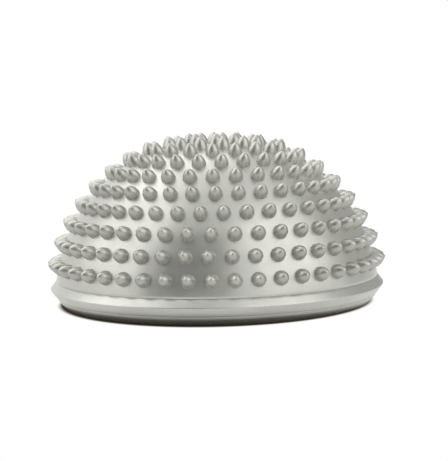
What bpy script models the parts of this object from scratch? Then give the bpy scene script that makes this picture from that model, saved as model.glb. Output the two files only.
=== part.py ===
"""Spiky balance pod: an air-filled half ball that a foot or hand presses on.

Two soft PVC mouldings enclose the air. The dome is a thin shell with solid spikes moulded on
its outside and a flange round its rim. The base is a disc with a smaller lip, bonded under
that flange. A rubber bung is snapped into a boss in the middle of the base, and a push-in
plug closes it. The plug pulls straight down to let a pump's nozzle in.

The frame has +Z up, its origin at the centre of the face the pod stands on, and -Y towards
whoever faces the front. Lengths are in metres.
"""

import math

import bmesh
import bpy
from mathutils import Matrix, Vector

# Dome
DOME_RADIUS = 0.0771
DOME_CENTRE_Z = 0.0006
WALL = 0.0025
CROWN_START_DEGREES = 60.0
CROWN_DROP = 0.0030

# Spikes
SPIKE_HEIGHT = 0.0054
SPIKE_BASE_RADIUS = 0.0035
SPIKE_SHOULDER_RADIUS = 0.0026
SPIKE_SHOULDER_HEIGHT = 0.0028
SPIKE_ROOT = 0.0009
SPIKE_SIDES = 6
SPIKE_PITCH = 0.0101
SMALLEST_RING_PITCHES = 0.9
FIRST_ROW_DEGREES = 13.9

# How far each row is turned from the front, as a share of its own pitch, from the lowest row up
ROW_TURNS = (-0.22, -0.33, -0.19, 0.36, 0.02, -0.08, 0.31, -0.06, 0.40, 0.10)

# Rim of the dome, which follows the ball above it
FLANGE_REACH = 0.0019
FLANGE_RADIUS = DOME_RADIUS + FLANGE_REACH
FLANGE_Z = 0.0081
FLANGE_EDGE = 0.0006
NECK_SETBACK = 0.0015
NECK_RADIUS = DOME_RADIUS - NECK_SETBACK
NECK_Z = 0.0117
GROOVE_DEPTH = 0.0046
GROOVE_RADIUS = FLANGE_RADIUS - GROOVE_DEPTH
SEAM_Z = 0.0041
BOND_WIDTH = 0.0040

# Base disc, which follows the rim that it is bonded under
LIP_REACH = 0.0007
LIP_RADIUS = GROOVE_RADIUS + LIP_REACH
LIP_Z = 0.0026
LIP_EDGE = 0.0006
FOOT_SETBACK = 0.0019
FOOT_RADIUS = LIP_RADIUS - FOOT_SETBACK
FOOT_WIDTH = 0.0090
RECESS_DEPTH = 0.0012
GRIP_RINGS = 3
GRIP_WIDTH = 0.0032
GRIP_DRAFT = 0.0004

# Valve
POCKET_RADIUS = 0.0110
POCKET_DEPTH = 0.0032
POCKET_RIM = 0.0024
BOSS_RADIUS = 0.0085
BOSS_TOP_Z = 0.0115
VALVE_BORE_RADIUS = 0.0046
BUNG_FLANGE_RADIUS = 0.0075
BUNG_FLANGE = 0.0011
BUNG_BARB = 0.0012
BUNG_BARB_HEIGHT = 0.0016
BUNG_BORE_RADIUS = 0.0026
PLUG_HEAD_RADIUS = 0.0060
PLUG_HEAD = 0.0010
PLUG_STEM_RADIUS = 0.0019
PLUG_RIDGES = 2
PLUG_RIDGE_HEIGHT = 0.0016

# Room between pieces that touch
GAP = 0.0003

# Facets
ROUND_STEPS = 48
CHAMBER_STEPS = 32
CHAMBER_RINGS = 6
VALVE_STEPS = 20
EDGE_STEPS = 2
CORNER_DEGREES = 58.0
MERGE = 0.00001
CUT_PAST = 0.0010


def clear_scene():
    for thing in list(bpy.data.objects):
        bpy.data.objects.remove(thing)


def collection(name):
    made = bpy.data.collections.new(name)
    bpy.context.scene.collection.children.link(made)
    return made


def material(name, colour, roughness, metallic=0.0):
    made = bpy.data.materials.new(name)
    made.use_nodes = True
    shader = made.node_tree.nodes["Principled BSDF"]
    shader.inputs["Base Color"].default_value = (*colour, 1.0)
    shader.inputs["Roughness"].default_value = roughness
    shader.inputs["Metallic"].default_value = metallic
    return made


def turned(name, profile, steps, home, finish=None, closed=False, origin_z=0.0):
    """A profile of (radius, z) points, turned round Z. It runs down its outer side."""
    mesh = bpy.data.meshes.new(name)
    count = len(profile)
    edges = [(i, i + 1) for i in range(count - 1)]
    if closed:
        edges.append((count - 1, 0))
    mesh.from_pydata([(r, 0.0, z - origin_z) for r, z in profile], edges, [])
    piece = bpy.data.objects.new(name, mesh)
    piece.location.z = origin_z
    home.objects.link(piece)
    if finish:
        mesh.materials.append(finish)
    screw = piece.modifiers.new("turn", "SCREW")
    screw.axis = "Z"
    screw.steps = screw.render_steps = steps
    screw.use_merge_vertices = True
    screw.merge_threshold = MERGE
    screw.use_smooth_shade = True
    return piece


def as_tool(piece):
    piece.hide_render = True
    piece.display_type = "WIRE"
    return piece


def boolean(piece, tool, operation):
    cut = piece.modifiers.new(tool.name, "BOOLEAN")
    cut.operation = operation
    cut.solver = "EXACT"
    cut.object = tool


def evaluated_mesh(piece):
    graph = bpy.context.evaluated_depsgraph_get()
    return bpy.data.meshes.new_from_object(piece.evaluated_get(graph))


def finish_smooth(piece):
    """Replace the modifiers with their result, shaded smooth except at real corners."""
    mesh = evaluated_mesh(piece)
    piece.modifiers.clear()
    piece.data = mesh
    mesh.shade_smooth()
    mesh.set_sharp_from_angle(angle=math.radians(CORNER_DEGREES))


def edge_arc(radius, z, edge, top_degrees, bottom_degrees):
    """Points of a rounded edge that bulges outwards, from its top to its bottom."""
    points = []
    for step in range(EDGE_STEPS + 1):
        angle = math.radians(top_degrees + (bottom_degrees - top_degrees) * step / EDGE_STEPS)
        points.append((radius - edge + edge * math.cos(angle), z + edge * math.sin(angle)))
    return points


def dome_point(latitude, inset=0.0):
    """(radius, z) on the dome's outer face, or inset from it. The crown is flatter than a ball."""
    start = math.sin(math.radians(CROWN_START_DEGREES))
    rise = max(0.0, (math.sin(latitude) - start) / (1.0 - start))
    radius = DOME_RADIUS - inset
    return (
        radius * math.cos(latitude),
        DOME_CENTRE_Z + radius * math.sin(latitude) - CROWN_DROP * rise**2,
    )


def dome_latitude(z):
    """The latitude at which the dome's ball part is this high."""
    return math.asin((z - DOME_CENTRE_Z) / DOME_RADIUS)


def outward(latitude):
    """The unit normal of the dome's outer face, as (radius, z) parts."""
    small = 0.001
    (r0, z0), (r1, z1) = dome_point(latitude - small), dome_point(latitude + small)
    length = math.hypot(r1 - r0, z1 - z0)
    return (z1 - z0) / length, (r0 - r1) / length


def spike_rows():
    """(latitude, turn) of each ring of spikes, from the lowest up, without the one at the top."""
    latitude = math.radians(FIRST_ROW_DEGREES)
    rows = []
    while DOME_RADIUS * math.cos(latitude) > SMALLEST_RING_PITCHES * SPIKE_PITCH:
        rows.append((latitude, ROW_TURNS[len(rows) % len(ROW_TURNS)]))
        latitude += SPIKE_PITCH / DOME_RADIUS
    return rows


def spike_places():
    """A matrix for each spike, with its +Z out of the dome."""
    places = []
    for latitude, turn in spike_rows():
        radius, z = dome_point(latitude)
        out_r, out_z = outward(latitude)
        count = max(3, round(2 * math.pi * radius / SPIKE_PITCH))
        for index in range(count):
            azimuth = 2 * math.pi * (index + turn) / count
            away = Vector((math.sin(azimuth), -math.cos(azimuth), 0.0))
            normal = Vector((away.x * out_r, away.y * out_r, out_z))
            turned_to = normal.to_track_quat("Z", "Y").to_matrix().to_4x4()
            places.append(Matrix.Translation((away.x * radius, away.y * radius, z)) @ turned_to)
    places.append(Matrix.Translation((0.0, 0.0, dome_point(math.pi / 2)[1])))
    return places


def spike_field(tools):
    """All the spikes as one tool, each with a root inside the wall."""
    draft = (SPIKE_BASE_RADIUS - SPIKE_SHOULDER_RADIUS) / SPIKE_SHOULDER_HEIGHT
    root_radius = SPIKE_BASE_RADIUS + draft * SPIKE_ROOT
    profile = [
        (0.0, SPIKE_HEIGHT),
        (SPIKE_SHOULDER_RADIUS, SPIKE_SHOULDER_HEIGHT),
        (root_radius, -SPIKE_ROOT),
        (0.0, -SPIKE_ROOT),
    ]
    pattern = as_tool(turned("spike_pattern", profile, SPIKE_SIDES, tools))
    shape = evaluated_mesh(pattern)
    field = bmesh.new()
    for place in spike_places():
        before = len(field.verts)
        field.from_mesh(shape)
        field.verts.ensure_lookup_table()
        bmesh.ops.transform(field, matrix=place, verts=field.verts[before:])
    mesh = bpy.data.meshes.new("spike_field")
    field.to_mesh(mesh)
    field.free()
    piece = bpy.data.objects.new("spike_field", mesh)
    tools.objects.link(piece)
    return as_tool(piece)


def dome_outline():
    """Latitudes of the outer face's facets, from the top down, each between two spike rows."""
    half = SPIKE_PITCH / DOME_RADIUS / 2
    edges = [latitude - half for latitude, _ in spike_rows()]
    return [edges[-1] + 2 * half, *reversed(edges)]


def dome_skin(pod, tools, finish):
    top_slope = math.degrees(math.atan2(FLANGE_RADIUS - NECK_RADIUS, NECK_Z - FLANGE_Z))
    under_slope = -math.degrees(math.atan2(FLANGE_RADIUS - GROOVE_RADIUS, FLANGE_Z - SEAM_Z))
    outline = [dome_point(latitude) for latitude in dome_outline()]
    outer = [
        (0.0, outline[0][1]),
        *outline,
        (NECK_RADIUS, NECK_Z),
        *edge_arc(FLANGE_RADIUS, FLANGE_Z, FLANGE_EDGE, top_slope, under_slope),
        (GROOVE_RADIUS, SEAM_Z),
        (0.0, SEAM_Z),
    ]
    skin = turned("dome_skin", outer, ROUND_STEPS, pod, finish)
    bond_radius = GROOVE_RADIUS - BOND_WIDTH
    low = dome_latitude(FLANGE_Z)
    rise = (math.pi / 2 - low) / CHAMBER_RINGS
    inner = [dome_point(low + rise * ring, WALL) for ring in range(CHAMBER_RINGS + 1)]
    chamber = [
        *reversed(inner),
        (bond_radius, SEAM_Z + WALL),
        (bond_radius, SEAM_Z - CUT_PAST),
        (0.0, SEAM_Z - CUT_PAST),
    ]
    chamber[0] = (0.0, chamber[0][1])
    boolean(skin, as_tool(turned("air_chamber", chamber, CHAMBER_STEPS, tools)), "DIFFERENCE")
    boolean(skin, spike_field(tools), "UNION")
    return skin


def grip_ring_radii():
    """Middle radii of the grip rings, shared out between the valve pocket and the foot ring."""
    first = POCKET_RADIUS + POCKET_RIM
    last = FOOT_RADIUS - FOOT_WIDTH
    share = (last - first) / (GRIP_RINGS + 1)
    return [first + share * (ring + 1) for ring in range(GRIP_RINGS)]


def base_disc(pod, finish):
    bond_z = SEAM_Z - GAP
    pad_top = POCKET_DEPTH + WALL
    pad_radius = POCKET_RADIUS + POCKET_RIM
    upper = [
        (VALVE_BORE_RADIUS, BOSS_TOP_Z),
        (BOSS_RADIUS, BOSS_TOP_Z),
        (BOSS_RADIUS, pad_top),
        (pad_radius, pad_top),
        (pad_radius, bond_z),
        (GROOVE_RADIUS, bond_z),
    ]
    lip_top = math.degrees(math.atan2(LIP_RADIUS - GROOVE_RADIUS, bond_z - LIP_Z))
    lip_bottom = -math.degrees(math.atan2(LIP_RADIUS - FOOT_RADIUS, LIP_Z))
    foot = [
        *edge_arc(LIP_RADIUS, LIP_Z, LIP_EDGE, lip_top, lip_bottom),
        (FOOT_RADIUS, 0.0),
        (FOOT_RADIUS - FOOT_WIDTH + GRIP_DRAFT, 0.0),
        (FOOT_RADIUS - FOOT_WIDTH, RECESS_DEPTH),
    ]
    rings = []
    for middle in reversed(grip_ring_radii()):
        rings += [
            (middle + GRIP_WIDTH / 2, RECESS_DEPTH),
            (middle + GRIP_WIDTH / 2 - GRIP_DRAFT, 0.0),
            (middle - GRIP_WIDTH / 2 + GRIP_DRAFT, 0.0),
            (middle - GRIP_WIDTH / 2, RECESS_DEPTH),
        ]
    pocket = [
        (pad_radius, RECESS_DEPTH),
        (pad_radius - GRIP_DRAFT, 0.0),
        (POCKET_RADIUS, 0.0),
        (POCKET_RADIUS, POCKET_DEPTH),
        (VALVE_BORE_RADIUS, POCKET_DEPTH),
    ]
    profile = [*upper, *foot, *rings, *pocket]
    return turned("base_disc", profile, ROUND_STEPS, pod, finish, closed=True)


def valve_bung(pod, finish):
    flange_top = POCKET_DEPTH - GAP
    flange_bottom = flange_top - BUNG_FLANGE
    sleeve_radius = VALVE_BORE_RADIUS - GAP
    barb_z = BOSS_TOP_Z + GAP
    top = barb_z + BUNG_BARB_HEIGHT
    profile = [
        (BUNG_BORE_RADIUS, top),
        (sleeve_radius, top),
        (VALVE_BORE_RADIUS + BUNG_BARB, barb_z + BUNG_BARB_HEIGHT / 4),
        (VALVE_BORE_RADIUS + BUNG_BARB, barb_z),
        (sleeve_radius, barb_z),
        (sleeve_radius, flange_top),
        (BUNG_FLANGE_RADIUS, flange_top),
        (BUNG_FLANGE_RADIUS, flange_bottom),
        (BUNG_BORE_RADIUS, flange_bottom),
    ]
    return turned("valve_bung", profile, VALVE_STEPS, pod, finish, closed=True)


def valve_plug(pod, finish):
    head_top = POCKET_DEPTH - GAP - BUNG_FLANGE - GAP
    head_bottom = head_top - PLUG_HEAD
    ridge_radius = BUNG_BORE_RADIUS - GAP
    stem_top = BOSS_TOP_Z
    run = (stem_top - head_top) / (PLUG_RIDGES + 1)
    stem = [(0.0, stem_top), (PLUG_STEM_RADIUS / 2, stem_top)]
    stem.append((PLUG_STEM_RADIUS, stem_top - PLUG_STEM_RADIUS / 2))
    for ridge in range(PLUG_RIDGES, 0, -1):
        middle = head_top + run * ridge
        stem += [
            (PLUG_STEM_RADIUS, middle + PLUG_RIDGE_HEIGHT / 2),
            (ridge_radius, middle),
            (PLUG_STEM_RADIUS, middle - PLUG_RIDGE_HEIGHT / 2),
        ]
    profile = [
        *stem,
        (PLUG_STEM_RADIUS, head_top),
        (PLUG_HEAD_RADIUS, head_top),
        (PLUG_HEAD_RADIUS, head_bottom + PLUG_HEAD / 3),
        (PLUG_HEAD_RADIUS - PLUG_HEAD / 3, head_bottom),
        (0.0, head_bottom),
    ]
    return turned("valve_plug", profile, VALVE_STEPS, pod, finish, origin_z=head_bottom)


def main():
    clear_scene()
    pod = collection("spiky_balance_pod")
    tools = collection("tools")
    silver = material("silver_pvc", (0.50, 0.50, 0.48), 0.34, 0.15)
    rubber = material("valve_rubber", (0.23, 0.23, 0.22), 0.6)
    white = material("plug_white", (0.80, 0.80, 0.77), 0.4)
    pieces = [
        dome_skin(pod, tools, silver),
        base_disc(pod, silver),
        valve_bung(pod, rubber),
        valve_plug(pod, white),
    ]
    for piece in pieces:
        finish_smooth(piece)


main()
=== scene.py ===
"""Looks of a spiky balance pod, built round its packed solids, and the studio that it stands in.

The file is laid out as an add-on. Each piece of the pod has an operator that builds it from
the settings groups, and the studio has one of its own. Run as a script, it builds them in order.

Lengths are in metres, in the frame of the solids: +Z up, and -Y towards the front. An azimuth
is 0 degrees at the front and 90 at the right, where +X is.
"""

import math

import bmesh
import bpy
from bpy.props import FloatProperty, FloatVectorProperty, IntProperty, PointerProperty
from mathutils import Matrix, Vector


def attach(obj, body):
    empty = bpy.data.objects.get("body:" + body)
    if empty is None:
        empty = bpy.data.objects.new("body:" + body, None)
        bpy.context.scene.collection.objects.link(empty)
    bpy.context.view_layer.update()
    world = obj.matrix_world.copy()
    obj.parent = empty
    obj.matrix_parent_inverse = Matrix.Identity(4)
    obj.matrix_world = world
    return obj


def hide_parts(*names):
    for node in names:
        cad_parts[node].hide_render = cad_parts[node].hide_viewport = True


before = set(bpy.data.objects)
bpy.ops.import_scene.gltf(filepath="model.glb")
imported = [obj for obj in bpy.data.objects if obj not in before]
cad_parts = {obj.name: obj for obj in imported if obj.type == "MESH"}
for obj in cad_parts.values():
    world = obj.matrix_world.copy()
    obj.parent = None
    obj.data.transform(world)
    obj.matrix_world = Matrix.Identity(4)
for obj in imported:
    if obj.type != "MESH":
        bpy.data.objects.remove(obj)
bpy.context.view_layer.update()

bl_info = {
    "name": "Spiky Balance Pod",
    "version": (1, 0, 0),
    "blender": (4, 5, 0),
    "location": "3D View > Sidebar > Balance Pod",
    "description": "Builds an air-filled half ball with moulded spikes, its base and its valve",
    "category": "Add Mesh",
}

PHOTO_SIZE = (448, 461)

# How far each ring of spikes is turned from the front, in pitches, the lowest ring first
RING_TURNS = (-0.22, -0.33, -0.19, 0.36, 0.02, -0.08, 0.31, -0.06, 0.40, 0.10)

# Steps of the arcs in a profile
FILLET_STEPS = 4
EDGE_STEPS = 8
# A point of a profile nearer to the axis than this is on it
ON_AXIS = 1e-7
# Faces that meet at more than this angle keep a sharp edge
SHARP_ANGLE = math.radians(50)

# Scales of the noises in the finishes, in cells per metre
PVC_CLOUDS = 48.0
PVC_FLAKE = 3200.0
PVC_HAZE = 130.0
PVC_SLACK = 34.0
PVC_GRAIN = 1500.0
RUBBER_DUST = 420.0
RUBBER_GRAIN = 2600.0
PLUG_FLOW = 260.0
PLUG_GRAIN = 1800.0
# Depths of the fine grain in the finishes
PVC_GRAIN_DEPTH = 0.00003
RUBBER_GRAIN_DEPTH = 0.00004
PLUG_GRAIN_DEPTH = 0.00002
# How far the clouds and the flake shift the vinyl's pigment, and the haze its roughness
PVC_TONE_SHIFT = 0.10
PVC_ROUGH_SHIFT = 0.04
# What the clouds have of that shift in the pigment; the flake has the rest
PVC_CLOUD_SHARE = 0.75

WHITE = (1.0, 1.0, 1.0, 1.0)
FLOOR_RADIUS = 4.0
FLOOR_SIDES = 64
# The floor lies this far under the pod's foot, so that no two faces coincide
FLOOR_DROP = 0.0001

# Soft boxes, with their azimuth and elevation in degrees
SOFT_BOXES = {
    "left_box": {"side": 1.0, "azimuth": -84.0, "elevation": 38.0, "distance": 1.0},
    "right_box": {"side": 0.9, "azimuth": 56.0, "elevation": 34.0, "distance": 1.0},
    "back_box": {"side": 0.9, "azimuth": -150.0, "elevation": 55.0, "distance": 1.1},
}
SOFT_BOX_AIM = Vector((0.0, 0.0, 0.03))

# Flags, from a first azimuth to a last one and from the floor's level to a top elevation
FLAGS = {
    "front_flag": {"first": -50.0, "last": 9.0, "top": 55.0},
    "right_flag": {"first": 98.0, "last": 165.0, "top": 50.0},
}
FLAG_DISTANCE = 1.6
FLAG_STEPS = 12

# The camera that fits the photograph, and the pixel that the point it aims at falls on
CAMERA_DISTANCE = 0.602
CAMERA_ELEVATION = math.radians(5.45)
CAMERA_ROLL = math.radians(-1.32)
CAMERA_AIM = Vector((0.0, 0.0, 0.035))
AIM_PIXEL = (215.7, 226.5)
FOCAL_PIXELS = 1261.0
SENSOR_WIDTH = 36.0
NEAREST_SEEN = 0.01
FARTHEST_SEEN = 20.0

# Room for a node in a tree, and how many stand in a row
NODE_ROOM = (220, 300)
NODES_IN_ROW = 10


def length(name, description, default):
    """A length in metres."""
    return FloatProperty(
        name=name, description=description, default=default, min=0.0, unit="LENGTH", precision=4
    )


def angle(name, description, degrees):
    """An angle, kept in radians."""
    return FloatProperty(
        name=name, description=description, default=math.radians(degrees), subtype="ANGLE"
    )


def share(name, description, default):
    """A number from 0 to 1."""
    return FloatProperty(
        name=name, description=description, default=default, min=0.0, max=1.0, subtype="FACTOR"
    )


def number(name, description, default, high):
    """A number from 0 up."""
    return FloatProperty(name=name, description=description, default=default, min=0.0, max=high)


def count(name, description, default, least):
    """A whole number."""
    return IntProperty(name=name, description=description, default=default, min=least)


def colour(name, description, default):
    """A colour in linear light."""
    return FloatVectorProperty(
        name=name, description=description, default=default, size=3, min=0.0, max=1.0,
        subtype="COLOR",
    )


class DomeSizes(bpy.types.PropertyGroup):
    """The thin shell that holds the air, and the rim round its foot."""

    radius: length("Radius", "Radius of the ball that the dome follows", 0.0771)
    centre_z: length("Centre height", "Height of that ball's centre", 0.0006)
    wall: length("Wall", "Thickness of the shell", 0.0025)
    crown_start: angle("Crown start", "Latitude above which the dome is flatter than a ball", 60.0)
    crown_drop: length("Crown drop", "How far the top lies under the ball's", 0.0030)
    flange_radius: length("Flange radius", "Radius of the upper lip of the rim", 0.0790)
    flange_z: length("Flange height", "Height of the upper lip's edge", 0.0081)
    flange_edge: length("Flange edge", "Rounding of the upper lip's edge", 0.0006)
    neck_radius: length("Neck radius", "Radius where the dome meets the flange", 0.0763)
    neck_z: length("Neck height", "Height where the dome meets the flange", 0.0117)
    crease: length("Neck crease", "Depth of the fine line where dome and flange meet", 0.00025)
    crease_width: length("Neck crease width", "Width of that line", 0.0006)
    crease_blend: length("Neck crease blend", "Width of the facets that border that line", 0.0009)
    seam_radius: length("Seam radius", "Radius of the seam between the dome and the base", 0.0761)
    seam_z: length("Seam height", "Height of the face that is bonded to the base", 0.0041)
    seam_edge: length("Seam edge", "Rounding of the seam's edges", 0.00012)
    bond_width: length("Bond width", "Width of that face", 0.0054)
    rings: count("Rings", "Rings of facets from the lowest spikes to the top", 56, 8)
    steps: count("Steps", "Facets round the dome", 192, 24)


class SpikeSizes(bpy.types.PropertyGroup):
    """The spikes, and the rings that they stand in."""

    height: length("Height", "How far a spike stands out of the dome", 0.0054)
    radius: length("Radius", "Radius of a spike at its foot", 0.0033)
    flare: length("Flare", "How far the foot flares out into the dome", 0.0001)
    sink: length("Sink", "Depth of the foot's edge inside the wall", 0.0003)
    root: length("Root", "Depth of the foot's middle inside the wall", 0.0009)
    pitch: length("Pitch", "Distance between neighbouring spikes", 0.0101)
    first_ring: angle("First ring", "Latitude of the lowest ring of spikes", 13.9)
    smallest_ring: share("Smallest ring", "Least radius of a ring, in pitches", 0.9)
    bulge: number("Bulge", "Power of the height that rounds the flanks", 2.0, 4.0)
    taper: number("Taper", "Power that draws the flanks in at the tip", 0.74, 4.0)
    levels: count("Levels", "Rings of facets up a spike", 4, 3)
    sides: count("Sides", "Facets round a spike", 12, 6)


class BaseSizes(bpy.types.PropertyGroup):
    """The moulded disc that closes the dome and stands on the floor."""

    lip_radius: length("Lip radius", "Radius of the lower lip of the rim", 0.0751)
    lip_z: length("Lip height", "Height of the lower lip's edge", 0.0029)
    lip_edge: length("Lip edge", "Rounding of the lower lip's edge", 0.0006)
    bond: length("Bond", "Thickness of the welded seam under the dome", 0.00005)
    foot_radius: length("Foot radius", "Outer radius of the ring that stands on the floor", 0.0727)
    foot_width: length("Foot width", "Width of that ring", 0.0090)
    recess: length("Recess", "Depth of the hollows between the rings underneath", 0.0012)
    grip_rings: count("Grip rings", "Rings inside the foot", 3, 0)
    grip_width: length("Grip width", "Width of a grip ring", 0.0032)
    draft: length("Draft", "How far a ring's side leans over its height", 0.0004)
    fillet: length("Fillet", "Rounding of the corners underneath", 0.0003)
    pocket_radius: length("Pocket radius", "Radius of the hollow round the valve", 0.0110)
    pocket_depth: length("Pocket depth", "Depth of the hollow round the valve", 0.0032)
    pocket_rim: length("Pocket rim", "Width of the ring round that hollow", 0.0024)
    boss_radius: length("Boss radius", "Radius of the boss that grips the bung", 0.0085)
    boss_top: length("Boss top", "Height of that boss", 0.0115)
    steps: count("Steps", "Facets round the base", 192, 24)


class ValveSizes(bpy.types.PropertyGroup):
    """The rubber bung in the base, and the plug that closes it."""

    bore: length("Bore", "Radius of the hole in the boss", 0.0046)
    gap: length("Gap", "Room between pieces that touch", 0.0003)
    flange_radius: length("Bung flange", "Radius of the bung's outer flange", 0.0075)
    flange: length("Bung flange thickness", "Thickness of that flange", 0.0011)
    barb: length("Barb", "How far the bung's barb stands out past the bore", 0.0012)
    barb_height: length("Barb height", "Height of that barb", 0.0016)
    bung_bore: length("Bung bore", "Radius of the hole through the bung", 0.0026)
    head_radius: length("Plug head", "Radius of the plug's head", 0.0060)
    head: length("Plug head thickness", "Thickness of the plug's head", 0.0010)
    dish_rim: share("Dish rim", "Radius of the hollow in the head, in radii of the head", 0.62)
    dish_floor: share("Dish floor", "Radius of that hollow's floor, in the same", 0.55)
    stem_radius: length("Stem radius", "Radius of the plug's stem", 0.0019)
    ridges: count("Ridges", "Ridges on the stem", 2, 0)
    ridge_height: length("Ridge height", "Height of a ridge", 0.0016)
    fillet: length("Fillet", "Rounding of the valve's corners", 0.00015)
    steps: count("Steps", "Facets round the valve", 72, 12)


class Finishes(bpy.types.PropertyGroup):
    """Colours and gloss of the mouldings."""

    skin: colour("Dome", "Silver pigment in the dome's thin wall", (0.560, 0.561, 0.522))
    skin_metal: share("Dome metal", "How metallic the dome's pigment is", 0.70)
    skin_rough: share("Dome roughness", "Roughness of the dome", 0.35)
    skin_wave: length("Dome waves", "Depth of the slack waves in the dome's gloss", 0.00030)
    # The spikes' pigment is darker than the dome's, though both are the same vinyl: this paints
    # shade on the spikes.
    spike: colour("Spikes", "Silver pigment where the spikes are solid", (0.496, 0.496, 0.455))
    spike_metal: share("Spike metal", "How metallic the spikes' pigment is", 0.62)
    spike_rough: share("Spike roughness", "Roughness of the spikes", 0.31)
    base: colour("Base", "Silver pigment in the base", (0.520, 0.519, 0.486))
    base_metal: share("Base metal", "How metallic the base's pigment is", 0.60)
    base_rough: share("Base roughness", "Roughness of the base", 0.38)
    base_wave: length("Base waves", "Depth of the slack waves in the base's gloss", 0.00020)
    rubber: colour("Bung", "Dark rubber of the bung", (0.050, 0.050, 0.048))
    plug: colour("Plug", "White plastic of the plug", (0.760, 0.760, 0.730))


class StudioSettings(bpy.types.PropertyGroup):
    """Light and floor."""

    fill: number("Fill", "Strength of the light from all round", 0.59, 4.0)
    left_box: number("Left box", "Brightness of the soft box on the left", 0.95, 20.0)
    right_box: number("Right box", "Brightness of the soft box on the right", 0.88, 20.0)
    back_box: number("Back box", "Brightness of the soft box behind the pod", 1.1, 20.0)
    front_flag: share("Front flag", "Brightness of the dark flag beside the camera", 0.18)
    right_flag: share("Right flag", "Brightness of the grey flag behind the right side", 0.45)
    floor: colour("Floor", "Colour of the floor, as it lights the pod", (0.76, 0.76, 0.75))
    # Painted shadow: a dark brownish paper colour under the pod, placed by the radii and shape
    # below, stands in for the pod's contact shadow.
    pool: colour("Pool", "Colour of the floor's dark pool under the pod", (0.120, 0.098, 0.064))
    pool_edge: length("Pool edge", "Radius where the pool starts to fade", 0.0728)
    pool_white: length("Pool, white", "Radius where the floor is seen as plain white", 0.0760)
    pool_paper: length("Pool, paper", "Radius where the floor has its own colour in full", 0.088)
    pool_depth: number("Pool depth", "Depth of the pool, in widths of it", 1.03, 4.0)
    pool_left: length("Pool, left", "How far the pool lies to the left", 0.0008)


SETTINGS = {
    "pod_dome": DomeSizes,
    "pod_spikes": SpikeSizes,
    "pod_base": BaseSizes,
    "pod_valve": ValveSizes,
    "pod_finish": Finishes,
    "pod_studio": StudioSettings,
}


class Wiring:
    """Adds nodes to a tree, with their inputs set or linked."""

    def __init__(self, tree):
        self.tree = tree

    def add(self, kind, inputs=None, **settings):
        """A new node."""
        made = self.tree.nodes.new(kind)
        row, column = divmod(len(self.tree.nodes), NODES_IN_ROW)
        made.location = (NODE_ROOM[0] * column, -NODE_ROOM[1] * row)
        for key, value in settings.items():
            setattr(made, key, value)
        for key, value in (inputs or {}).items():
            self.feed(made.inputs[key], value)
        return made

    def feed(self, socket, value):
        """Link an input to another node's output, or give it a value."""
        if isinstance(value, bpy.types.NodeSocket):
            self.tree.links.new(value, socket)
        else:
            socket.default_value = value

    def math(self, operation, *values):
        """The result of a Math node."""
        return self.add(
            "ShaderNodeMath", dict(enumerate(values)), operation=operation
        ).outputs[0]

    def vector(self, x, y, z):
        """A vector of three numbers."""
        return self.add("ShaderNodeCombineXYZ", {0: x, 1: y, 2: z}).outputs[0]

    def noise(self, place, scale, detail=2.0, roughness=0.5):
        """A noise from 0 to 1."""
        inputs = {"Vector": place, "Scale": scale, "Detail": detail, "Roughness": roughness}
        return self.add("ShaderNodeTexNoise", inputs).outputs["Fac"]

    def remap(self, value, source=(0.0, 1.0), target=(0.0, 1.0), **settings):
        """A value brought from one range to another."""
        inputs = {
            "Value": value,
            "From Min": source[0],
            "From Max": source[1],
            "To Min": target[0],
            "To Max": target[1],
        }
        return self.add("ShaderNodeMapRange", inputs, **settings).outputs["Result"]

    def blend(self, value, *stops):
        """A colour that runs from the first (value, colour) stop to the second."""
        made = self.add("ShaderNodeValToRGB", {"Fac": value})
        for element, (position, tint) in zip(made.color_ramp.elements, stops):
            element.position = position
            element.color = (*tint, 1.0)
        return made.outputs["Color"]

    def bump(self, height, strength, depth, **inputs):
        """A normal that follows a height."""
        inputs |= {"Height": height, "Strength": strength, "Distance": depth}
        return self.add("ShaderNodeBump", inputs).outputs["Normal"]


def clean_wiring(owner):
    """The wiring of a material or a world, with its first nodes gone."""
    owner.use_nodes = True
    owner.node_tree.nodes.clear()
    return Wiring(owner.node_tree)


def placed(name, data):
    """A new object in the scene."""
    made = bpy.data.objects.new(name, data)
    bpy.context.scene.collection.objects.link(made)
    return made


def mesh_of(name, shape):
    """A mesh of a bmesh shape, which is freed."""
    mesh = bpy.data.meshes.new(name)
    shape.to_mesh(mesh)
    shape.free()
    return mesh


def piece(name, mesh, finish, slot, body, *nodes):
    """A finished moulding: its material, its slot, which is not used, the body it belongs to and
    the solids it shows.
    """
    made = placed(name, mesh)
    mesh.materials.clear()
    mesh.materials.append(finish)
    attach(made, body)
    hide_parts(*nodes)


def rounded(corners, closed=False):
    """Points of a profile given as (radius, z, fillet) corners, with an arc at each fillet."""
    points = []
    last = len(corners) - 1
    for index, (radius, z, *fillet) in enumerate(corners):
        corner = Vector((radius, z))
        ends = not closed and index in (0, last)
        if ends or not fillet or not fillet[0]:
            points.append(corner)
            continue
        before = (Vector(corners[index - 1][:2]) - corner).normalized()
        after = (Vector(corners[(index + 1) % len(corners)][:2]) - corner).normalized()
        half = before.angle(after) / 2
        centre = corner + (before + after).normalized() * fillet[0] / math.sin(half)
        start = corner + before * fillet[0] / math.tan(half) - centre
        end = corner + after * fillet[0] / math.tan(half) - centre
        for step in range(FILLET_STEPS + 1):
            points.append(centre + start.slerp(end, step / FILLET_STEPS) * fillet[0])
    return [(point.x, point.y) for point in points]


def edge_arc(radius, z, edge, top, bottom):
    """Points of a rounded edge that bulges outwards, from its top to its bottom."""
    turns = [top + (bottom - top) * step / EDGE_STEPS for step in range(EDGE_STEPS + 1)]
    return [(radius - edge + edge * math.cos(t), z + edge * math.sin(t)) for t in turns]


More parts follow.
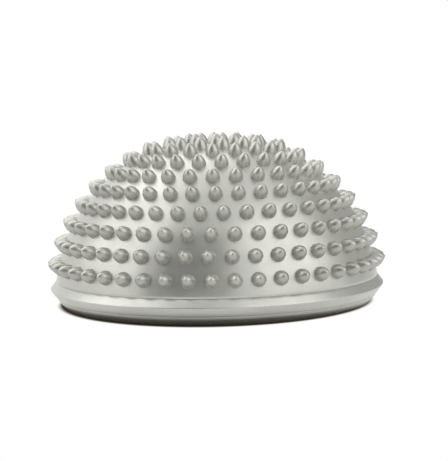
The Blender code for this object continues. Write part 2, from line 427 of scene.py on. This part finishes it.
def turned_mesh(name, profile, steps, closed=False):
    """A profile of (radius, z) points turned round Z, as a closed smooth mesh."""
    shape = bmesh.new()
    turns = [2 * math.pi * step / steps for step in range(steps)]
    rings = []
    for radius, z in profile:
        if radius < ON_AXIS:
            rings.append([shape.verts.new((0.0, 0.0, z))] * steps)
            continue
        spots = [(radius * math.sin(turn), -radius * math.cos(turn), z) for turn in turns]
        rings.append([shape.verts.new(spot) for spot in spots])
    pairs = list(zip(rings, rings[1:]))
    if closed:
        pairs.append((rings[-1], rings[0]))
    for upper, lower in pairs:
        for step in range(steps):
            after = (step + 1) % steps
            loop = (upper[step], lower[step], lower[after], upper[after])
            face = list(dict.fromkeys(loop))
            if len(face) > 2:
                shape.faces.new(face)
    bmesh.ops.recalc_face_normals(shape, faces=shape.faces)
    mesh = mesh_of(name, shape)
    mesh.shade_smooth()
    mesh.set_sharp_from_angle(angle=SHARP_ANGLE)
    return mesh


def dome_point(dome, latitude, inset=0.0):
    """(radius, z) on the dome's outer face, or inset from it."""
    start = math.sin(dome.crown_start)
    rise = max(0.0, (math.sin(latitude) - start) / (1.0 - start))
    radius = dome.radius - inset
    return (
        radius * math.cos(latitude),
        dome.centre_z + radius * math.sin(latitude) - dome.crown_drop * rise**2,
    )


def dome_arc(dome, start, end, inset=0.0):
    """Points of the dome's outline, from one latitude to another."""
    return [
        dome_point(dome, start + (end - start) * ring / dome.rings, inset)
        for ring in range(dome.rings + 1)
    ]


def neck_crease(dome, above, below):
    """Points of the fine line at the neck, between the outline's points above and below it."""
    corner = Vector((dome.neck_radius, dome.neck_z))
    up = (Vector(above) - corner).normalized()
    down = (Vector(below) - corner).normalized()
    half = dome.crease_width / 2
    return [
        corner + up * (half + dome.crease_blend),
        corner + up * half,
        corner - Vector((dome.crease, 0.0)),
        corner + down * half,
        corner + down * (half + dome.crease_blend),
    ]


def principled(wires, tint, roughness, normal, **inputs):
    """The shader of a finish, and the tree's output."""
    inputs |= {"Base Color": tint, "Roughness": roughness, "Normal": normal}
    shader = wires.add("ShaderNodeBsdfPrincipled", inputs)
    wires.add("ShaderNodeOutputMaterial", {"Surface": shader.outputs[0]})


def silver_pvc(name, pigment, metal, roughness, wave):
    """Soft vinyl with a silver pigment: faint flow clouds, fine flake and a slack, wavy gloss."""
    made = bpy.data.materials.new(name)
    wires = clean_wiring(made)
    place = wires.add("ShaderNodeTexCoord").outputs["Object"]
    clouds = wires.noise(place, PVC_CLOUDS, detail=3.0, roughness=0.55)
    flake = wires.add(
        "ShaderNodeTexVoronoi", {"Vector": place, "Scale": PVC_FLAKE}, feature="F1"
    ).outputs["Color"]
    sparkle = wires.add("ShaderNodeSeparateColor", {"Color": flake}).outputs["Red"]
    tone = wires.math(
        "ADD",
        wires.math("MULTIPLY", clouds, PVC_CLOUD_SHARE),
        wires.math("MULTIPLY", sparkle, 1.0 - PVC_CLOUD_SHARE),
    )
    deep = [channel * (1.0 - PVC_TONE_SHIFT) for channel in pigment]
    pale = [min(1.0, channel * (1.0 + PVC_TONE_SHIFT)) for channel in pigment]
    tint = wires.blend(tone, (0.25, deep), (0.75, pale))
    haze = wires.noise(place, PVC_HAZE)
    rough = wires.remap(
        haze, (0.3, 0.7), (roughness - PVC_ROUGH_SHIFT, roughness + PVC_ROUGH_SHIFT)
    )
    slack = wires.noise(place, PVC_SLACK, detail=1.0)
    grain = wires.noise(place, PVC_GRAIN)
    waves = wires.bump(slack, 1.0, wave)
    normal = wires.bump(grain, 0.5, PVC_GRAIN_DEPTH, Normal=waves)
    principled(wires, tint, rough, normal, Metallic=metal, IOR=1.52)
    return made


def valve_rubber(name, tint):
    """Dark rubber, matt and slightly dusty."""
    made = bpy.data.materials.new(name)
    wires = clean_wiring(made)
    place = wires.add("ShaderNodeTexCoord").outputs["Object"]
    dust = wires.noise(place, RUBBER_DUST, detail=4.0)
    dusty = [channel * 2.0 for channel in tint]
    shown = wires.blend(dust, (0.35, tint), (0.80, dusty))
    rough = wires.remap(dust, target=(0.50, 0.72))
    normal = wires.bump(wires.noise(place, RUBBER_GRAIN), 0.6, RUBBER_GRAIN_DEPTH)
    principled(wires, shown, rough, normal)
    return made


def plug_plastic(name, tint):
    """White moulded plastic with faint flow lines."""
    made = bpy.data.materials.new(name)
    wires = clean_wiring(made)
    place = wires.add("ShaderNodeTexCoord").outputs["Object"]
    flow = wires.noise(place, PLUG_FLOW)
    deep = [channel * 0.92 for channel in tint]
    shown = wires.blend(flow, (0.30, deep), (0.70, tint))
    rough = wires.remap(flow, target=(0.30, 0.44))
    normal = wires.bump(wires.noise(place, PLUG_GRAIN), 0.4, PLUG_GRAIN_DEPTH)
    principled(wires, shown, rough, normal)
    return made


def spike_mesh(spikes):
    """One spike, with its foot at the origin and its tip along +Z."""
    profile = [(0.0, spikes.height)]
    for level in range(1, spikes.levels):
        rise = math.cos(math.pi / 2 * level / spikes.levels)
        radius = spikes.radius * (1.0 - rise**spikes.bulge) ** spikes.taper
        profile.append((radius, spikes.height * rise))
    profile += [(spikes.radius + spikes.flare, -spikes.sink), (0.0, -spikes.root)]
    return turned_mesh("spike", profile, spikes.sides)


def ring_turn(wires, ring):
    """The turn of a ring, from RING_TURNS."""
    turns = wires.add("GeometryNodeIndexSwitch", data_type="FLOAT")
    for _ in RING_TURNS[2:]:
        turns.index_switch_items.new()
    wires.feed(turns.inputs["Index"], wires.math("MODULO", ring, float(len(RING_TURNS))))
    for index, turn in enumerate(RING_TURNS):
        turns.inputs[str(index)].default_value = turn
    return turns.outputs[0]


def aimed_points(wires, number_of, spot, axis):
    """Points that carry the way that their spikes point."""
    points = wires.add("GeometryNodePoints", {"Count": number_of, "Position": spot})
    return wires.add(
        "GeometryNodeStoreNamedAttribute",
        {"Geometry": points.outputs[0], "Name": "spike_axis", "Value": axis},
        data_type="FLOAT_VECTOR", domain="POINT",
    ).outputs[0]


def ring_points(wires, given, ring):
    """The points of one ring on the dome, as many as its length holds."""
    ball, pitch, drop = given["Dome Radius"], given["Pitch"], given["Crown Drop"]
    step = wires.math("DIVIDE", pitch, ball)
    latitude = wires.math("MULTIPLY_ADD", ring, step, given["First Ring"])
    sine, cosine = wires.math("SINE", latitude), wires.math("COSINE", latitude)
    start = wires.math("SINE", given["Crown Start"])
    room = wires.math("SUBTRACT", 1.0, start)
    past = wires.math("DIVIDE", wires.math("SUBTRACT", sine, start), room)
    rise = wires.math("MAXIMUM", 0.0, past)
    radius = wires.math("MULTIPLY", ball, cosine)
    ball_z = wires.math("MULTIPLY_ADD", ball, sine, given["Centre Height"])
    sunk = wires.math("MULTIPLY", drop, wires.math("MULTIPLY", rise, rise))
    height = wires.math("SUBTRACT", ball_z, sunk)

    # A spike stands square to the crown, so it is nearer to upright there than on a ball
    slope = wires.math("DIVIDE", wires.math("MULTIPLY", drop, rise), room)
    flatter = wires.math("SUBTRACT", ball, wires.math("MULTIPLY", 2.0, slope))
    out_r = wires.math("MULTIPLY", flatter, cosine)
    out_z = wires.math("MULTIPLY", ball, sine)

    around = wires.math("MULTIPLY", 2 * math.pi, radius)
    held = wires.math("ROUND", wires.math("DIVIDE", around, pitch))
    number_of = wires.math("MAXIMUM", 3.0, held)
    index = wires.add("GeometryNodeInputIndex").outputs[0]
    along = wires.math("ADD", index, ring_turn(wires, ring))
    azimuth = wires.math("DIVIDE", wires.math("MULTIPLY", 2 * math.pi, along), number_of)
    side = wires.math("SINE", azimuth)
    back = wires.math("MULTIPLY", -1.0, wires.math("COSINE", azimuth))
    spot = wires.vector(
        wires.math("MULTIPLY", radius, side), wires.math("MULTIPLY", radius, back), height
    )
    axis = wires.vector(
        wires.math("MULTIPLY", out_r, side), wires.math("MULTIPLY", out_r, back), out_z
    )
    return aimed_points(wires, number_of, spot, axis)


def joined(wires, first, second):
    """Two geometries in one."""
    made = wires.add("GeometryNodeJoinGeometry", {0: first})
    wires.feed(made.inputs[0], second)
    return made.outputs[0]


def spike_rings_tree():
    """Rings of spikes round the dome, each with as many as its length holds, and one on top."""
    tree = bpy.data.node_groups.new("Spike rings", "GeometryNodeTree")
    tree.is_modifier = True
    for name, kind in (
        ("Spike", "NodeSocketObject"),
        ("Dome Radius", "NodeSocketFloat"),
        ("Centre Height", "NodeSocketFloat"),
        ("Crown Start", "NodeSocketFloat"),
        ("Crown Drop", "NodeSocketFloat"),
        ("Pitch", "NodeSocketFloat"),
        ("First Ring", "NodeSocketFloat"),
        ("Rings", "NodeSocketInt"),
        ("Material", "NodeSocketMaterial"),
    ):
        tree.interface.new_socket(name, in_out="INPUT", socket_type=kind)
    tree.interface.new_socket("Geometry", in_out="OUTPUT", socket_type="NodeSocketGeometry")
    wires = Wiring(tree)
    given = wires.add("NodeGroupInput").outputs
    first = wires.add("GeometryNodeRepeatInput")
    last = wires.add("GeometryNodeRepeatOutput")
    first.pair_with_output(last)
    wires.feed(first.inputs["Iterations"], given["Rings"])
    ring = ring_points(wires, given, first.outputs["Iteration"])
    wires.feed(last.inputs["Geometry"], joined(wires, first.outputs["Geometry"], ring))

    crown = wires.math("SUBTRACT", given["Dome Radius"], given["Crown Drop"])
    top_z = wires.math("ADD", given["Centre Height"], crown)
    top = aimed_points(wires, 1, wires.vector(0.0, 0.0, top_z), (0.0, 0.0, 1.0))
    axis = wires.add(
        "GeometryNodeInputNamedAttribute", {"Name": "spike_axis"}, data_type="FLOAT_VECTOR"
    ).outputs["Attribute"]
    aim = wires.add("FunctionNodeAlignRotationToVector", {"Vector": axis}, axis="Z")
    spike = wires.add("GeometryNodeObjectInfo", {"Object": given["Spike"]})
    stood = wires.add(
        "GeometryNodeInstanceOnPoints",
        {
            "Points": joined(wires, last.outputs["Geometry"], top),
            "Instance": spike.outputs["Geometry"],
            "Rotation": aim.outputs["Rotation"],
        },
    )
    real = wires.add("GeometryNodeRealizeInstances", {"Geometry": stood.outputs[0]})
    finished = wires.add(
        "GeometryNodeSetMaterial", {"Geometry": real.outputs[0], "Material": given["Material"]}
    )
    wires.add("NodeGroupOutput", {"Geometry": finished.outputs[0]})
    return tree


def set_inputs(modifier, values):
    """Set a modifier's inputs, given by name, through their sockets' identifiers."""
    for item in modifier.node_group.interface.items_tree:
        if item.item_type == "SOCKET" and item.in_out == "INPUT" and item.name in values:
            modifier[item.identifier] = values[item.name]


class POD_OT_dome_shell(bpy.types.Operator):
    """Build the dome's shell and the upper lip of the rim"""

    bl_idname = "balance_pod.dome_shell"
    bl_label = "Dome shell"

    def execute(self, context):
        dome, spikes = context.scene.pod_dome, context.scene.pod_spikes
        finish = context.scene.pod_finish
        pole = math.pi / 2
        lowest = spikes.first_ring - spikes.pitch / dome.radius / 2
        outer = dome_arc(dome, pole, lowest)
        top = math.atan2(dome.flange_radius - dome.neck_radius, dome.neck_z - dome.flange_z)
        under = -math.atan2(dome.flange_radius - dome.seam_radius, dome.flange_z - dome.seam_z)
        edge = edge_arc(dome.flange_radius, dome.flange_z, dome.flange_edge, top, under)
        neck = neck_crease(dome, outer[-1], edge[0])
        bond = dome.seam_radius - dome.bond_width
        below = rounded(
            [
                edge[-1],
                (dome.seam_radius, dome.seam_z, dome.seam_edge),
                (bond, dome.seam_z, dome.seam_edge),
                (bond, dome.seam_z + dome.wall),
            ]
        )
        low = math.asin((dome.flange_z - dome.centre_z) / dome.radius)
        inner = dome_arc(dome, low, pole, dome.wall)
        profile = [*outer, *neck, *edge, *below[1:], *inner]
        mesh = turned_mesh("dome_shell", profile, dome.steps)
        vinyl = silver_pvc(
            "silver_pvc_skin", finish.skin, finish.skin_metal, finish.skin_rough, finish.skin_wave
        )
        piece("dome_shell", mesh, vinyl, "silver_pvc", "pod", "dome_skin")
        return {"FINISHED"}


class POD_OT_spikes(bpy.types.Operator):
    """Stand the rings of spikes on the dome"""

    bl_idname = "balance_pod.spikes"
    bl_label = "Spikes"

    def execute(self, context):
        dome, spikes = context.scene.pod_dome, context.scene.pod_spikes
        finish = context.scene.pod_finish
        # The spikes get the darker pigment, which paints shade on them.
        vinyl = silver_pvc(
            "silver_pvc_spikes_painted_shade", finish.spike, finish.spike_metal, finish.spike_rough, wave=0.0
        )
        step = spikes.pitch / dome.radius
        highest = math.acos(spikes.smallest_ring * step)
        rings = int((highest - spikes.first_ring) / step) + 1
        pattern = placed("spike_pattern", spike_mesh(spikes))
        field = placed("spike_field", bpy.data.meshes.new("spike_field"))
        modifier = field.modifiers.new("Spike rings", "NODES")
        modifier.node_group = spike_rings_tree()
        set_inputs(
            modifier,
            {
                "Spike": pattern,
                "Dome Radius": dome.radius,
                "Centre Height": dome.centre_z,
                "Crown Start": dome.crown_start,
                "Crown Drop": dome.crown_drop,
                "Pitch": spikes.pitch,
                "First Ring": spikes.first_ring,
                "Rings": rings,
                "Material": vinyl,
            },
        )
        graph = context.evaluated_depsgraph_get()
        mesh = bpy.data.meshes.new_from_object(field.evaluated_get(graph))
        if not mesh.polygons:
            raise RuntimeError("no spike was made: see the inputs of the spike rings")
        bpy.data.objects.remove(field)
        bpy.data.objects.remove(pattern)
        piece("dome_spikes", mesh, vinyl, "silver_pvc", "pod", "dome_skin")
        return {"FINISHED"}


class POD_OT_base(bpy.types.Operator):
    """Build the base disc with its lip, its rings and the boss for the valve"""

    bl_idname = "balance_pod.base"
    bl_label = "Base"

    def execute(self, context):
        dome, base = context.scene.pod_dome, context.scene.pod_base
        valve, finish = context.scene.pod_valve, context.scene.pod_finish
        bond_z = dome.seam_z - base.bond
        pad_top = base.pocket_depth + dome.wall
        pad = base.pocket_radius + base.pocket_rim
        soft = base.fillet
        top = math.atan2(base.lip_radius - dome.seam_radius, bond_z - base.lip_z)
        bottom = -math.atan2(base.lip_radius - base.foot_radius, base.lip_z)
        inside = base.foot_radius - base.foot_width
        corners = [
            (valve.bore, base.boss_top, soft),
            (base.boss_radius, base.boss_top, soft),
            (base.boss_radius, pad_top, soft),
            (pad, pad_top, soft),
            (pad, bond_z, soft),
            (dome.seam_radius, bond_z, dome.seam_edge),
            *edge_arc(base.lip_radius, base.lip_z, base.lip_edge, top, bottom),
            (base.foot_radius, 0.0, soft),
            (inside + base.draft, 0.0, soft),
            (inside, base.recess, soft),
        ]
        pitch = (inside - pad) / (base.grip_rings + 1)
        half = base.grip_width / 2
        for ring in range(base.grip_rings, 0, -1):
            middle = pad + pitch * ring
            corners += [
                (middle + half, base.recess, soft),
                (middle + half - base.draft, 0.0, soft),
                (middle - half + base.draft, 0.0, soft),
                (middle - half, base.recess, soft),
            ]
        corners += [
            (pad, base.recess, soft),
            (pad - base.draft, 0.0, soft),
            (base.pocket_radius, 0.0, soft),
            (base.pocket_radius, base.pocket_depth, soft),
            (valve.bore, base.pocket_depth, soft),
        ]
        mesh = turned_mesh("base_moulding", rounded(corners, closed=True), base.steps, closed=True)
        vinyl = silver_pvc(
            "silver_pvc_base", finish.base, finish.base_metal, finish.base_rough, finish.base_wave
        )
        piece("base_moulding", mesh, vinyl, "silver_pvc", "pod", "base_disc")
        return {"FINISHED"}


class POD_OT_valve_bung(bpy.types.Operator):
    """Build the rubber bung that is snapped into the base"""

    bl_idname = "balance_pod.valve_bung"
    bl_label = "Valve bung"

    def execute(self, context):
        base, valve = context.scene.pod_base, context.scene.pod_valve
        top_face = base.pocket_depth - valve.gap
        under_face = top_face - valve.flange
        sleeve = valve.bore - valve.gap
        barb = valve.bore + valve.barb
        barb_z = base.boss_top + valve.gap
        top = barb_z + valve.barb_height
        soft = valve.fillet
        corners = [
            (valve.bung_bore, top, soft),
            (sleeve, top, soft),
            (barb, barb_z + valve.barb_height / 4, soft),
            (barb, barb_z, soft),
            (sleeve, barb_z, soft),
            (sleeve, top_face, soft),
            (valve.flange_radius, top_face, soft),
            (valve.flange_radius, under_face, soft * 2),
            (valve.bung_bore, under_face, soft),
        ]
        mesh = turned_mesh("bung_moulding", rounded(corners, closed=True), valve.steps, closed=True)
        rubber = valve_rubber("bung_rubber", context.scene.pod_finish.rubber)
        piece("bung_moulding", mesh, rubber, "valve_rubber", "pod", "valve_bung")
        return {"FINISHED"}


class POD_OT_valve_plug(bpy.types.Operator):
    """Build the plug that is pushed into the bung"""

    bl_idname = "balance_pod.valve_plug"
    bl_label = "Valve plug"

    def execute(self, context):
        base, valve = context.scene.pod_base, context.scene.pod_valve
        stem, head = valve.stem_radius, valve.head_radius
        head_top = base.pocket_depth - 2 * valve.gap - valve.flange
        head_bottom = head_top - valve.head
        dish_z = head_bottom + valve.head / 4
        ridge = valve.bung_bore - valve.gap
        run = (base.boss_top - head_top) / (valve.ridges + 1)
        soft = valve.fillet
        corners = [
            (0.0, base.boss_top),
            (stem / 2, base.boss_top, soft),
            (stem, base.boss_top - stem / 2, soft),
        ]
        for index in range(valve.ridges, 0, -1):
            middle = head_top + run * index
            corners += [
                (stem, middle + valve.ridge_height / 2, soft),
                (ridge, middle, soft),
                (stem, middle - valve.ridge_height / 2, soft),
            ]
        corners += [
            (stem, head_top, soft),
            (head, head_top, soft),
            (head, head_bottom + valve.head / 3, soft),
            (head - valve.head / 3, head_bottom, soft),
            (head * valve.dish_rim, head_bottom, soft),
            (head * valve.dish_floor, dish_z, soft),
            (0.0, dish_z),
        ]
        mesh = turned_mesh("plug_moulding", rounded(corners), valve.steps)
        white = plug_plastic("plug_plastic", context.scene.pod_finish.plug)
        piece("plug_moulding", mesh, white, "plug_white", "plug", "valve_plug")
        return {"FINISHED"}


def direction(azimuth, elevation):
    """The unit vector from the pod towards an azimuth and elevation in degrees."""
    turn, rise = math.radians(azimuth), math.radians(elevation)
    flat = math.cos(rise)
    return Vector((math.sin(turn) * flat, -math.cos(turn) * flat, math.sin(rise)))


def soft_box(name, brightness, side, azimuth, elevation, distance):
    """A square soft box that looks at the pod."""
    lamp = bpy.data.lights.new(name, "AREA")
    lamp.shape = "SQUARE"
    lamp.size = side
    lamp.energy = brightness * math.pi * side * side
    away = direction(azimuth, elevation)
    made = placed(name, lamp)
    made.location = SOFT_BOX_AIM + away * distance
    made.rotation_euler = (-away).to_track_quat("-Z", "Y").to_euler()
    made.visible_camera = False


def flag(name, brightness, first, last, top):
    """A card curved like a slice of a ball, which the camera does not see and reflections do."""
    shape = bmesh.new()
    shares = [step / FLAG_STEPS for step in range(FLAG_STEPS + 1)]
    columns = [
        [
            shape.verts.new(direction(first + (last - first) * along, top * up) * FLAG_DISTANCE)
            for up in shares
        ]
        for along in shares
    ]
    for before, after in zip(columns, columns[1:]):
        for row in range(FLAG_STEPS):
            shape.faces.new((before[row], after[row], after[row + 1], before[row + 1]))
    bmesh.ops.recalc_face_normals(shape, faces=shape.faces)
    card = bpy.data.materials.new(name)
    wires = clean_wiring(card)
    glow = wires.add("ShaderNodeEmission", {"Color": WHITE, "Strength": brightness})
    wires.add("ShaderNodeOutputMaterial", {"Surface": glow.outputs[0]})
    mesh = mesh_of(name, shape)
    mesh.materials.append(card)
    made = placed(name, mesh)
    made.visible_camera = False


def seen_as_white(wires):
    """1 for what the camera sees, straight, through something or in a reflection, and else 0."""
    path = wires.add("ShaderNodeLightPath").outputs
    straight = wires.math("MAXIMUM", path["Is Camera Ray"], path["Is Transmission Ray"])
    return wires.math("MAXIMUM", straight, path["Is Glossy Ray"])


def white_world(fill):
    """Light from all round, seen as plain white by the camera and in reflections."""
    world = bpy.data.worlds.new("studio")
    wires = clean_wiring(world)
    level = wires.remap(seen_as_white(wires), target=(fill, 1.0))
    sky = wires.add("ShaderNodeBackground", {"Color": WHITE, "Strength": level})
    wires.add("ShaderNodeOutputWorld", {"Surface": sky.outputs[0]})
    return world


def floor_paper(studio):
    """Pale paper with a shadow painted in its colour under the pod, seen as plain white from the
    shadow's edge outwards.
    """
    made = bpy.data.materials.new("studio_floor")
    wires = clean_wiring(made)
    place = wires.add("ShaderNodeTexCoord").outputs["Object"]
    scale = (1.0, 1.0 / studio.pool_depth, 0.0)
    pool = wires.add(
        "ShaderNodeVectorMath",
        {0: place, 1: scale, 2: (studio.pool_left, 0.0, 0.0)}, operation="MULTIPLY_ADD",
    ).outputs["Vector"]
    away = wires.add("ShaderNodeVectorMath", {0: pool}, operation="LENGTH").outputs["Value"]
    clear = wires.remap(
        away, (studio.pool_edge, studio.pool_white), interpolation_type="SMOOTHSTEP"
    )
    # Painted shadow: the paper's colour is the dark shadow colour out to the edge radius and turns
    # to the floor's own colour by the outer radius, for every ray.
    painted_shadow_fade = wires.remap(away, (studio.pool_edge, studio.pool_paper))
    tint = wires.blend(painted_shadow_fade, (0.0, studio.pool), (1.0, studio.floor))
    paper = wires.add("ShaderNodeBsdfDiffuse", {"Color": tint})
    white = wires.add("ShaderNodeEmission", {"Color": WHITE, "Strength": 1.0})
    shown = wires.math("MULTIPLY", seen_as_white(wires), clear)
    mixed = wires.add(
        "ShaderNodeMixShader", {0: shown, 1: paper.outputs[0], 2: white.outputs[0]}
    )
    wires.add("ShaderNodeOutputMaterial", {"Surface": mixed.outputs[0]})
    return made


def studio_floor(studio):
    """The round floor that the pod stands on."""
    shape = bmesh.new()
    bmesh.ops.create_circle(shape, cap_ends=True, radius=FLOOR_RADIUS, segments=FLOOR_SIDES)
    bmesh.ops.translate(shape, vec=(0.0, 0.0, -FLOOR_DROP), verts=shape.verts)
    mesh = mesh_of("studio_floor", shape)
    mesh.materials.append(floor_paper(studio))
    placed("studio_floor", mesh)


def photo_camera():
    """A camera where the photograph was taken from."""
    flat, rise = math.cos(CAMERA_ELEVATION), math.sin(CAMERA_ELEVATION)
    forward = Vector((0.0, flat, -rise))
    level_up = Vector((0.0, rise, flat))
    level_right = Vector((1.0, 0.0, 0.0))
    right = level_right * math.cos(CAMERA_ROLL) + level_up * math.sin(CAMERA_ROLL)
    up = level_up * math.cos(CAMERA_ROLL) - level_right * math.sin(CAMERA_ROLL)
    turn = Matrix((right, up, -forward)).transposed().to_4x4()
    data = bpy.data.cameras.new("photo_camera")
    made = placed("photo_camera", data)
    made.matrix_world = Matrix.Translation(CAMERA_AIM - forward * CAMERA_DISTANCE) @ turn
    width, height = PHOTO_SIZE
    data.sensor_width = SENSOR_WIDTH
    data.lens = FOCAL_PIXELS * SENSOR_WIDTH / max(PHOTO_SIZE)
    data.shift_x = (width / 2 - AIM_PIXEL[0]) / max(PHOTO_SIZE)
    data.shift_y = -(height / 2 - AIM_PIXEL[1]) / max(PHOTO_SIZE)
    data.clip_start = NEAREST_SEEN
    data.clip_end = FARTHEST_SEEN
    bpy.context.scene.camera = made


class POD_OT_studio(bpy.types.Operator):
    """Set up the floor, the soft boxes, the flags, the white surround and the camera"""

    bl_idname = "balance_pod.studio"
    bl_label = "Studio"

    def execute(self, context):
        studio = context.scene.pod_studio
        context.scene.view_settings.view_transform = "Standard"
        context.scene.world = white_world(studio.fill)
        studio_floor(studio)
        for name, place in SOFT_BOXES.items():
            soft_box(name, getattr(studio, name), **place)
        for name, place in FLAGS.items():
            flag(name, getattr(studio, name), **place)
        photo_camera()
        return {"FINISHED"}


OPERATORS = (
    POD_OT_studio,
    POD_OT_dome_shell,
    POD_OT_spikes,
    POD_OT_base,
    POD_OT_valve_bung,
    POD_OT_valve_plug,
)


class POD_PT_panel(bpy.types.Panel):
    """Lists the mouldings and their settings"""

    bl_idname = "POD_PT_panel"
    bl_label = "Balance Pod"
    bl_space_type = "VIEW_3D"
    bl_region_type = "UI"
    bl_category = "Balance Pod"

    def draw(self, context):
        column = self.layout.column(align=True)
        for operator in OPERATORS:
            column.operator(operator.bl_idname)
        for name, group in SETTINGS.items():
            box = self.layout.box()
            box.label(text=group.__doc__)
            for field in group.__annotations__:
                box.prop(getattr(context.scene, name), field)


def register():
    """Register the classes, and give each scene the settings."""
    for kind in (*SETTINGS.values(), *OPERATORS, POD_PT_panel):
        bpy.utils.register_class(kind)
    for name, group in SETTINGS.items():
        setattr(bpy.types.Scene, name, PointerProperty(type=group))


def unregister():
    """Take the settings and the classes away again."""
    for name in SETTINGS:
        delattr(bpy.types.Scene, name)
    for kind in reversed((*SETTINGS.values(), *OPERATORS, POD_PT_panel)):
        bpy.utils.unregister_class(kind)


def main():
    """Build the studio and the pod."""
    register()
    bpy.ops.balance_pod.studio()
    bpy.ops.balance_pod.dome_shell()
    bpy.ops.balance_pod.spikes()
    bpy.ops.balance_pod.base()
    bpy.ops.balance_pod.valve_bung()
    bpy.ops.balance_pod.valve_plug()


if __name__ == "__main__":
    main()
